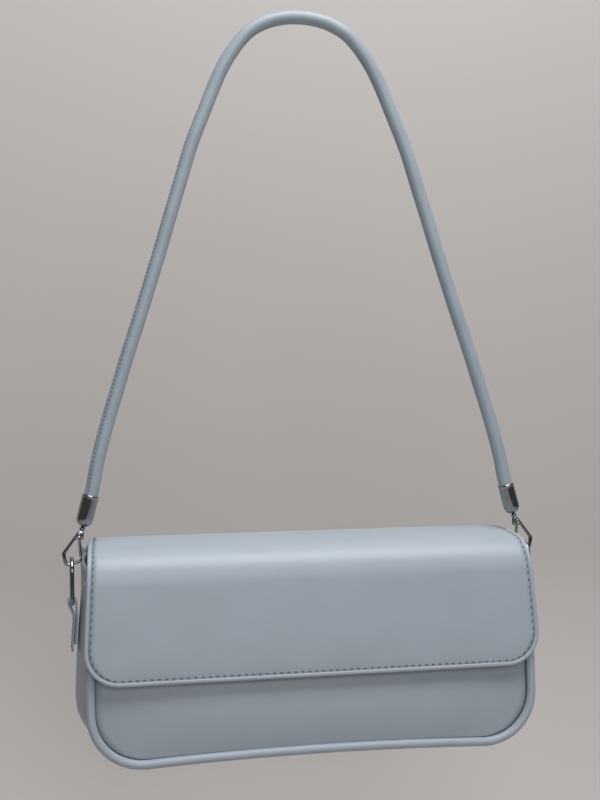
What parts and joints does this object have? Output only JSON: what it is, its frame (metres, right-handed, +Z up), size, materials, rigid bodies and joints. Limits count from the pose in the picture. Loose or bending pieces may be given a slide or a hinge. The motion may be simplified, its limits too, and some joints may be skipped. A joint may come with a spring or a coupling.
{
  "type": "flap shoulder bag",
  "caption": "Small rectangular shoulder bag with a fold-over flap, piped edges, a rolled leather strap, bell end caps, snap hooks and rings.",
  "frame": {"origin": "underside of the strap at its crown, where a hook, hand or shoulder holds it", "axes": "+X to the right of someone facing the flap, along the bag's length; +Y from the flap to the back; +Z up"},
  "size_m": [0.2838, 0.076, 0.4328],
  "materials": {
    "leather": "smooth, semi-matt, pale blue",
    "flap_lining": "smooth, matt, pale blue",
    "lining_cloth": "plain woven, pale grey-blue",
    "core_cord": "undyed cotton cord",
    "board": "pressed fibre board",
    "metal": "polished, plated"
  },
  "bodies": {
    "strap": {"strap_cover": "leather", "strap_core": "core_cord", "end_cap_left": "metal", "end_cap_right": "metal"},
    "bag": {"back_panel": "leather", "front_panel": "leather", "gusset": "leather", "front_piping_cover": "leather", "front_piping_cord": "core_cord", "back_piping_cover": "leather", "back_piping_cord": "core_cord", "lining": "lining_cloth", "slip_pocket": "lining_cloth", "base_board": "board", "snap_socket": "metal", "snap_washer": "metal", "ring_tab_left": "leather", "ring_tab_right": "leather"},
    "flap_top": {"flap_top_outer": "leather", "flap_top_stiffener": "board", "flap_top_lining": "flap_lining", "flap_top_rim_left": "leather", "flap_top_rim_right": "leather"},
    "flap_front": {"flap_front_outer": "leather", "flap_front_stiffener": "board", "flap_front_lining": "flap_lining", "flap_front_rim": "leather", "snap_stud": "metal"},
    "hook_left": {"swivel_post_left": "metal", "hook_frame_left": "metal", "gate_pin_left": "metal"},
    "gate_left": {"hook_gate_left": "metal"},
    "ring_left_body": {"ring_left": "metal"},
    "hook_right": {"swivel_post_right": "metal", "hook_frame_right": "metal", "gate_pin_right": "metal"},
    "gate_right": {"hook_gate_right": "metal"},
    "ring_right_body": {"ring_right": "metal"}
  },
  "joints": [
    {"name": "bag_swing", "type": "hinge", "parent": "strap", "child": "bag", "pos_m": [0, 0, -0.31423], "axis": [1, 0, 0], "range_deg": [-25, 25]},
    {"name": "flap_lift", "type": "hinge", "parent": "bag", "child": "flap_top", "pos_m": [0, 0.0375, -0.30365], "axis": [-1, 0, 0], "range_deg": [0, 12]},
    {"name": "flap_fold", "type": "hinge", "parent": "flap_top", "child": "flap_front", "pos_m": [0, -0.02758, -0.31161], "axis": [-1, 0, 0], "range_deg": [0, 120]},
    {"name": "hook_swivel_left", "type": "hinge", "parent": "strap", "child": "hook_left", "pos_m": [-0.12968, 0, -0.29349], "axis": [0.2538, 0, 0.9673], "range_deg": [-20, 20]},
    {"name": "gate_open_left", "type": "hinge", "parent": "hook_left", "child": "gate_left", "pos_m": [-0.13181, 0, -0.29816], "axis": [0, 1, 0], "range_deg": [0, 12], "stiffness_Nm_per_rad": 0.001, "springref_deg": -11.46},
    {"name": "ring_tilt_left", "type": "hinge", "parent": "bag", "child": "ring_left_body", "pos_m": [-0.13619, 0, -0.3362], "axis": [0, 1, 0], "range_deg": [-2, 2]},
    {"name": "hook_swivel_right", "type": "hinge", "parent": "strap", "child": "hook_right", "pos_m": [0.12968, 0, -0.29349], "axis": [-0.2538, 0, 0.9673], "range_deg": [-20, 20]},
    {"name": "gate_open_right", "type": "hinge", "parent": "hook_right", "child": "gate_right", "pos_m": [0.13181, 0, -0.29816], "axis": [0, -1, 0], "range_deg": [0, 12], "stiffness_Nm_per_rad": 0.001, "springref_deg": -11.46},
    {"name": "ring_tilt_right", "type": "hinge", "parent": "bag", "child": "ring_right_body", "pos_m": [0.13619, 0, -0.3362], "axis": [0, 1, 0], "range_deg": [-2, 2]}
  ]
}
